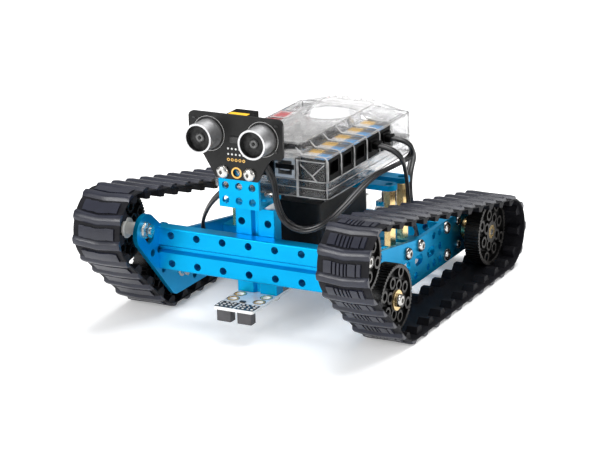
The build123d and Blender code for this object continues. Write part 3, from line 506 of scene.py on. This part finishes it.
def make_track(hand):
    """Carcass, chevron bars and pads outside, and two rows of lugs inside."""
    low, high = node_box("track_" + hand)
    side = 1 if hand == "right" else -1
    inner, width = min(abs(low.x), abs(high.x)), high.x - low.x
    belt = Belt(hand)
    pitch = belt.length / BELT_UNITS
    shape = Shape()

    def out(x):
        return side * (inner + x)

    section = [(0, SOFT - CARCASS), (SOFT, -CARCASS), (width - SOFT, -CARCASS), (width, SOFT - CARCASS)]
    section += [(width, -SOFT - VALLEY), (width - SOFT, -VALLEY), (SOFT, -VALLEY), (0, -SOFT - VALLEY)]
    rings = []
    for k in range(BELT_UNITS * 8):
        rings.append([(out(x), *belt.at(k * pitch / 8, h)) for x, h in section])
    # The carcass takes the darker rubber: painted shade in the valleys between bars and inside the belt.
    shape.loft(rings, 1, closed=True)

    for unit in range(BELT_UNITS):
        s = unit * pitch
        add_bar(shape, belt, s, width, out)
        for x0, x1 in PADS:
            nose = CHEVRON * (1 - abs((x0 + x1) / width - 1))
            span = (s + PAD_SPAN[0] - nose, s + PAD_SPAN[1] - nose)
            block_on_belt(shape, belt, span, (out(x0), out(x1)), (ROOT, PAD_RISE), 0.25)
        # The lugs take the darker rubber too: painted shade inside the belt.
        for x0, x1 in ((0.4, 6.6), (width - 9.6, width - 2.4)):
            span = (s + LUG_SPAN[0], s + LUG_SPAN[1])
            height = (0.3 - CARCASS, -CARCASS - LUG_HEIGHT)
            block_on_belt(shape, belt, span, (out(x0), out(x1)), height, LUG_LEAN, 1)
    shape.piece("rubber_track_" + hand, RUBBERS, replaces=["track_" + hand])


# The second rubber is a darker copy of the first, painted shade on the carcass and lugs.
RUBBERS = [MATERIALS["rubber_track"], make_shaded_rubber()]
for hand in ("right", "left"):
    make_track(hand)


# ---- cables ----
DISTANCE_ROUTE = (
    (39.6, 19.7, 90.9), (47.5, 20.2, 91.2), (54.0, 25.0, 86.0), (51.5, 26.0, 79.0),
    (46.6, 12.0, 76.8), (46.0, -8.0, 77.6), (46.2, -25.0, 75.3), (45.6, -42.0, 70.5),
    (41.0, -55.5, 63.5), (28.0, -57.5, 57.6), (17.8, -60.0, 62.5), (15.2, -63.5, 74.0),
    (15.2, -65.0, 88.0), (9.5, -68.5, 98.5), (1.2, -69.6, 101.5), (0.0, -69.9, 111.0),
)
LINE_ROUTE = (
    (39.6, 4.2, 90.9), (48.0, 3.0, 91.2), (55.4, 7.5, 85.0), (54.8, 13.5, 73.0),
    (54.2, 17.0, 60.0), (53.9, 17.5, 47.5), (53.6, 28.2, 38.0), (50.0, 37.0, 27.5),
    (38.0, 33.0, 18.5), (20.0, 14.0, 18.0), (6.0, -8.0, 20.0), (0.0, -26.0, 26.2), (0.0, -38.5, 26.2),
)
BATTERY_ROUTE = (
    (2.2, -50.9, 90.0), (1.4, -58.5, 89.6), (-10.0, -61.5, 82.0), (-24.0, -54.5, 72.5),
    (-35.5, -48.0, 62.0), (-41.5, -46.5, 50.0), (-37.5, -46.5, 40.0), (-27.0, -45.5, 36.8),
    (-18.6, -41.5, 38.6), (-18.0, -33.1, 39.0),
)
MOTOR_ROUTE = (
    (14.0, 52.8, 89.0), (14.6, 60.0, 89.0), (25.0, 61.0, 83.5), (41.5, 53.5, 75.5),
    (46.5, 35.0, 68.5), (47.5, 31.5, 57.5), (46.0, 37.0, 47.0), (36.0, 52.0, 43.0),
    (20.0, 67.0, 43.5), (9.0, 78.0, 43.0), (8.5, 81.6, 34.4),
)


def curve_points(route):
    """Points along a smooth NURBS line through a route, evenly enough spaced for a tube."""
    data = bpy.data.curves.new("route", "CURVE")
    data.dimensions = "3D"
    data.resolution_u = 10
    spline = data.splines.new("NURBS")
    spline.points.add(len(route) - 1)
    for point, place in zip(spline.points, route):
        point.co = (*place, 1)
    spline.order_u = 3
    spline.use_endpoint_u = True
    holder = bpy.data.objects.new("route", data)
    mesh = bpy.data.meshes.new_from_object(holder)
    points = [vertex.co.copy() for vertex in mesh.vertices]
    bpy.data.objects.remove(holder)
    bpy.data.curves.remove(data)
    bpy.data.meshes.remove(mesh)
    return points


def make_cable(name, node, route, width, thick, flat, cores=2):
    """A flat cable with rounded cores; flat is the direction that its wide side lies along at first."""
    points = curve_points(route)
    shape = Shape()
    across = Vector(flat)
    rings = []
    for k, point in enumerate(points):
        ahead = points[min(k + 1, len(points) - 1)] - points[max(k - 1, 0)]
        ahead.normalize()
        across = (across - ahead * across.dot(ahead)).normalized()
        normal = ahead.cross(across)
        ring = []
        half = width / 2 / cores
        for side in (1, -1):
            for core in range(cores):
                centre = side * (width / 2 - half - 2 * half * core)
                for degrees in (10, 50, 90, 130, 170):
                    a = math.radians(degrees)
                    u = centre + side * half * math.cos(a)
                    v = side * thick / 2 * math.sin(a)
                    ring.append(point + across * u + normal * v)
        rings.append(ring)
    shape.loft(rings)
    shape.piece(name, [MATERIALS["cable_black"]], replaces=[node], sharp=50)


RIBBON = (5.2, 2.2)
BATTERY_WIRE = (5.6, 2.0)
ACROSS, ALONG = (1, 0, 0), (0, 1, 0)
make_cable("distance_ribbon", "distance_sensor_cable", DISTANCE_ROUTE, *RIBBON, ALONG)
make_cable("line_ribbon", "line_sensor_cable", LINE_ROUTE, *RIBBON, ALONG)
make_cable("battery_wire", "battery_lead", BATTERY_ROUTE, *BATTERY_WIRE, ACROSS)
make_cable("motor_ribbon", "motor_cable", MOTOR_ROUTE, *RIBBON, ACROSS)


# ---- controller ----
PORTS_A_SIDE = 5
PORT_PITCH = 15.5
PORT_WIDTH = 13.2
PORT_DEPTH = 16.0
STICKER_THICK = 0.16
STICKER_GAP = 0.2
LABELS = {
    "label_yellow": (1.0, 0.56, 0.01),
    "label_white": (0.9, 0.9, 0.89),
    "label_grey": (0.05, 0.05, 0.055),
    "label_blue": (0.03, 0.42, 0.95),
    "label_red": (0.85, 0.04, 0.05),
}
RIGHT_STICKERS = ("label_blue", "label_white", "label_grey", "label_yellow")
LEFT_STICKERS = ("label_red", "label_white", "label_red", "label_white")


def sticker(name):
    """Printed film in one of the label colours."""
    color = LABELS[name]
    return plain(name, tuple(c * 0.88 for c in color), color, 1.0, (0.3, 0.4))


def make_labels():
    """Four stickers on top of each cable socket: outer and inner at its front, then at its back."""
    low, high = node_box("port_sockets")
    order = list(LABELS)
    shape = Shape()
    half, quarter = PORT_WIDTH / 2, PORT_DEPTH / 2
    for side, colors in ((1, RIGHT_STICKERS), (-1, LEFT_STICKERS)):
        edge = high.x if side > 0 else low.x
        for k in range(PORTS_A_SIDE):
            y = low.y + half + PORT_PITCH * k
            for color, (inward, along) in zip(colors, ((0, -1), (1, -1), (0, 1), (1, 1))):
                step = inward * (quarter - STICKER_GAP)
                x0, x1 = sorted((edge - side * (STICKER_GAP + step), edge - side * (quarter + step)))
                y0, y1 = sorted((y, y + along * (half - STICKER_GAP)))
                top = high.z + STICKER_THICK
                shape.slab((x0, y0, high.z), (x1, y1, top), 0.04, 0.1, order.index(color))
    shape.piece("port_labels", [sticker(name) for name in LABELS])


make_labels()
CLEAR_EDGE = make_clear_edge()


def bead(shape, route, radius, closed=False, sides=6):
    """A thin rounded strip along straight runs, such as the lit edge of a clear moulding."""
    points = [Vector(point) for point in route]
    rings = []
    count = len(points)
    for k, point in enumerate(points):
        before = points[k - 1] if k or closed else point
        after = points[(k + 1) % count] if k < count - 1 or closed else point
        ahead = (after - before).normalized()
        if k == 0:
            across = ahead.orthogonal()
        across = (across - ahead * across.dot(ahead)).normalized()
        normal = ahead.cross(across)
        ring = []
        for i in range(sides):
            a = 2 * math.pi * i / sides
            ring.append(point + (across * math.cos(a) + normal * math.sin(a)) * radius)
        rings.append(ring)
    shape.loft(rings, closed=closed)


BASE_DEPTH = 9.6  # from where the case's halves meet down to the bottom edge
STEP_HEIGHT = 5.4  # the line round the base
SHOULDER_DROP = 6.0  # from the lid's top down to the roof over the sockets
SPINE_DROP = 1.6
CASE_CORNER = 3.5
SPINE_HALF = 15.8


def make_case_edges():
    """Ribs between the sockets, lit edges round both halves, and the braces in the front corner."""
    low, high = node_box("case_lid")
    split, shoulder, top = low.z, high.z - SHOULDER_DROP, high.z - SPINE_DROP
    bottom = split - BASE_DEPTH
    shape = Shape()
    port_low = node_box("port_sockets")[0].y
    for side in (1, -1):
        wall = high.x if side > 0 else low.x
        for k in range(PORTS_A_SIDE + 1):
            y = port_low + PORT_PITCH * (k - 1) + (PORT_WIDTH + PORT_PITCH) / 2
            route = [(wall, y, split + 0.4), (wall, y, shoulder - 2.6)]
            route += [(wall - side * 0.8, y, shoulder - 1.0), (wall - side * 2.4, y, shoulder)]
            route += [(wall - side * 15.5, y, shoulder + 0.4), (wall - side * 19.0, y, top - 0.6)]
            bead(shape, route, 0.42)

    levels = (  # height, inset, radius
        (bottom + 0.3, 0.3, 0.35),
        (bottom + STEP_HEIGHT, 0.0, 0.22),
        (split, 0.0, 0.4),
        (shoulder - 0.2, 0.5, 0.3),
    )
    for z, inset, radius in levels:
        bead(shape, rounded_ring(low, high, inset, CASE_CORNER, z), radius, closed=True)
    middle = (low.x + high.x) / 2
    spine_low = (middle - SPINE_HALF, low.y + 7.0)
    spine_high = (middle + SPINE_HALF, high.y - 6.0)
    bead(shape, rounded_ring(spine_low, spine_high, 0, 4.0, top), 0.28, closed=True)

    for x in (low.x + 1, high.x - 1):
        for y in (low.y + 1, high.y - 1):
            bead(shape, [(x, y, bottom + 0.5), (x, y, shoulder - 0.6)], 0.4)

    front = low.y - 0.1
    bead(shape, [(21.6, front, bottom + 0.3), (21.6, front, shoulder - 2.6)], 0.8)
    for route in (
        [(23.4, front, 92.6), (30.5, front, 86.9), (33.2, front, split)],
        [(37.6, front, 93.6), (30.5, front, 86.9)],
        [(22.4, front, shoulder - 3.0), (38.0, front, shoulder - 3.0)],
    ):
        bead(shape, route, 0.4)
    shape.piece("case_edges", [CLEAR_EDGE], sharp=60)


def make_plugs():
    """Plug bodies on the cables, the USB socket's tongue, and a dark sheet behind the front corner that is painted
    shade.
    """
    wall = node_box("port_sockets")[1].x
    shape = Shape()
    for route in (DISTANCE_ROUTE, LINE_ROUTE):
        y, z = route[0][1], route[0][2]
        shape.slab((wall - 3.6, y - 4.6, z - 3.2), (wall + 1.4, y + 4.6, z + 3.2), 0.4)
        shape.slab((wall + 1.2, y - 3.4, z - 1.9), (wall + 4.6, y + 3.4, z + 1.9), 0.5)
    x, y, z = BATTERY_ROUTE[0]
    shape.disc(looking(FORWARD, (x, y + 3.0, z)), 2.6, 8.0, 0.5)
    low, high = node_box("usb_socket")
    shape.slab((low.x + 0.3, low.y - 0.15, high.z - 6.4), (high.x - 0.3, low.y, high.z - 3.6), 0.04, 0.3)
    # A dark sheet just behind the clear front corner: painted shade, not a real part.
    low, high = node_box("case_lid")
    shape.slab((22.6, low.y + 1.7, low.z - 7.0), (high.x - 2.6, low.y + 2.3, high.z - 8.0), 0.05, 2.0)
    shape.piece("cable_plugs", [MATERIALS["socket_black"]])


make_case_edges()
make_plugs()


# ---- boards and sensors ----
GOLD = plain("gold_pad", (0.72, 0.42, 0.10), (0.85, 0.55, 0.17), 0.4, (0.35, 0.5), 0.01, 0.55)
SILK = plain("white_ink", (0.7, 0.7, 0.69), (0.78, 0.78, 0.77), 0.5, (0.4, 0.5))
CHIP = plain("chip_black", grey(0.012), grey(0.02), 0.3, (0.25, 0.35))
MESH = plain("mesh_grey", grey(0.004), grey(0.03), 0.25, (0.45, 0.6), 0.1, **DULL)
CONE = plain("cone_grey", grey(0.08), grey(0.2), 0.3, (0.3, 0.45), 0.05, 0.8)
HOLE_PITCH = 8.0


def make_distance_details():
    """Rings, dots and small parts on the face of the distance sensor board."""
    face = node_box("distance_sensor_board")[0].y
    shape = Shape()
    gold, white, black, yellow = range(4)
    for x in (-HOLE_PITCH, 0, HOLE_PITCH):
        shape.washer(looking(FORWARD, (x, face, 92.7)), 2.2, 3.1, 0.12, paint=gold)
    for row, z in enumerate((105.6, 102.6, 99.6)):
        for k in range(5):
            place = looking(FORWARD, (-4.6 + 2.3 * k, face, z))
            if row == 2:
                shape.washer(place, 0.45, 0.85, 0.1, 16, gold)
            else:
                shape.disc(place, 0.55, 0.12, 0.03, 12, white)
    shape.slab((-3.0, face - 0.8, 109.0), (3.0, face, 112.5), 0.15, paint=black)
    for x in (-16, 16):
        shape.washer(looking(FORWARD, (x, face, 112.6)), 9.3, 9.45, 0.05, 64, white)
    for x, z in ((-24, 106.5), (24, 106.5), (-24.5, 120.5), (24.5, 120.5)):
        shape.slab((x - 1, face - 0.5, z - 0.5), (x + 1, face, z + 0.5), 0.1, paint=black)
    low, high = node_box("distance_sensor_socket")
    top = high.z + STICKER_THICK
    shape.slab((low.x + 1.0, low.y + 0.6, high.z), (high.x - 1.0, low.y + 5.0, top), 0.04, 0.3, yellow)
    shape.piece("distance_board_parts", [GOLD, SILK, CHIP, sticker("label_yellow")])


def make_grille(hand):
    """The mesh, cone and rim inside one of the distance sensor's cans."""
    low, high = node_box("transducer_" + hand)
    x, z = (low.x + high.x) / 2, (low.z + high.z) / 2
    front = low.y + 3.0
    grille = Shape()
    grille.disc(looking(FORWARD, (x, front + 0.6, z)), 6.95, 0.6, 0.1, 48)
    grille.disc(looking(FORWARD, (x, front, z)), 2.6, 0.9, 0.6, 32, 1)
    grille.disc(looking(FORWARD, (x, front - 0.8, z)), 0.9, 0.8, 0.25, 24)
    grille.washer(looking(FORWARD, (x, front, z)), 6.72, 6.98, 2.7, 64)
    grille.piece("transducer_grille_" + hand, [MESH, CONE])


def make_line_details():
    """Plated, dark-ringed holes in the line board, and two dark patches of small parts at its front."""
    low, high = node_box("line_sensor_board")
    top = high.z
    beam_face = low.y + 18.9
    shape = Shape()
    gold, white, black = range(3)
    for x in (-HOLE_PITCH, HOLE_PITCH):
        for dy in (-4, 4, 12):
            place = looking(UP, (x, beam_face + dy, top))
            shape.washer(place, 2.15, 3.0, 0.1, paint=gold)
            shape.washer(place, 3.2, 3.6, 0.06, paint=black)
    for x0, x1 in ((-11.8, -0.6), (0.6, 11.8)):
        shape.slab((x0, low.y + 0.6, top), (x1, low.y + 9.4, top + 0.12), 0.03, 0.3, black)
        for k in range(12):
            x = x0 + 1.6 + 2.7 * (k % 4) + random.uniform(-0.4, 0.4)
            y = low.y + 2.2 + 2.7 * (k // 4) + random.uniform(-0.3, 0.3)
            half = random.uniform(0.45, 0.8)
            shape.slab((x - half, y - 0.4, top + 0.1), (x + half, y + 0.4, top + 0.6), 0.1, paint=white)
    shape.slab((-1.6, low.y + 10.2, top), (1.6, low.y + 12.0, top + 0.9), 0.15, paint=black)
    shape.piece("line_board_parts", [GOLD, SILK, CHIP])


def make_board_parts():
    """Pins beside the board's two large chips, small chips, capacitors and a pale connector."""
    low, high = node_box("control_board")
    top = low.z + 1.6
    centre = (low + high) / 2
    shape = Shape()
    black, metal, white = range(3)

    def block(x, y, wide, deep, tall, paint):
        corner = Vector((wide / 2, deep / 2, 0))
        middle = Vector((centre.x + x, centre.y + y, top))
        shape.slab(middle - corner, middle + corner + Vector((0, 0, tall)), 0.1, paint=paint)

    for x, y in ((-6, -6), (8, -22)):
        for side in (1, -1):
            for k in range(8):
                block(x + side * 6.6, y - 4.9 + 1.4 * k, 1.1, 0.7, 0.5, metal)
    for x in (12.5, -13):
        block(x, 28, 5, 4, 1.3, black)
    block(0, 36, 10, 4, 3.0, white)
    for x, y, radius in ((2.6, -12.4, 2.3), (11.0, -0.6, 2.6), (-12.5, 4.6, 2.3)):
        shape.disc(looking(UP, (centre.x + x, centre.y + y, top)), radius, 5.5, 0.4, paint=metal)
    shape.piece("control_board_parts", [CHIP, MATERIALS["plug_metal"], SILK])


make_distance_details()
for hand in ("left", "right"):
    make_grille(hand)
make_line_details()
make_board_parts()


# ---- floor and light ----
FLOOR_GLOW = 0.22
WALL_GREY, CEILING_GREY = 0.12, 0.6
LIGHTS = (  # name, place in metres, size in metres, power in watts
    ("top_light", (0.15, 0.35, 1.4), 1.1, 22),
    ("front_light", (-0.6, -1.4, 0.7), 0.6, 15),
    ("side_light", (1.3, -0.3, 0.6), 0.5, 4),
)


def make_floor():
    """A pale floor that runs far back and glows a little."""
    bpy.ops.mesh.primitive_plane_add(size=12, location=(0, 0, 0))
    floor = bpy.context.object
    floor.name = "floor"
    paint = shades("floor_paper", grey(0.93), grey(0.95), 40.0, (0.7, 0.8), 0.0)
    paint.set("Emission Color", (1, 1, 1, 1))
    paint.set("Emission Strength", FLOOR_GLOW)
    floor.data.materials.append(paint.material)


def make_world():
    """Dim walls under a bright ceiling."""
    world = bpy.data.worlds.new("studio")
    bpy.context.scene.world = world
    world.use_nodes = True
    tree = world.node_tree
    place = tree.nodes.new("ShaderNodeTexCoord")
    split = tree.nodes.new("ShaderNodeSeparateXYZ")
    walls = tree.nodes.new("ShaderNodeValToRGB")
    tree.links.new(place.outputs["Generated"], split.inputs["Vector"])
    tree.links.new(split.outputs["Z"], walls.inputs["Fac"])
    tree.links.new(walls.outputs["Color"], tree.nodes["Background"].inputs["Color"])
    stops = ((0.05, WALL_GREY), (0.75, CEILING_GREY))
    for element, (position, level) in zip(walls.color_ramp.elements, stops):
        element.position = position
        element.color = (*grey(level), 1)


def make_lights():
    """Three soft lights aimed at the middle of the robot."""
    target = Vector((0, 0, 0.05))
    for name, place, size, power in LIGHTS:
        data = bpy.data.lights.new(name, "AREA")
        data.energy = power
        data.size = size
        lamp = bpy.data.objects.new(name, data)
        lamp.location = place
        lamp.rotation_mode = "QUATERNION"
        lamp.rotation_quaternion = (target - Vector(place)).to_track_quat("-Z", "Y")
        bpy.context.scene.collection.objects.link(lamp)


make_floor()
make_world()
make_lights()
bpy.context.scene.view_settings.view_transform = "Standard"
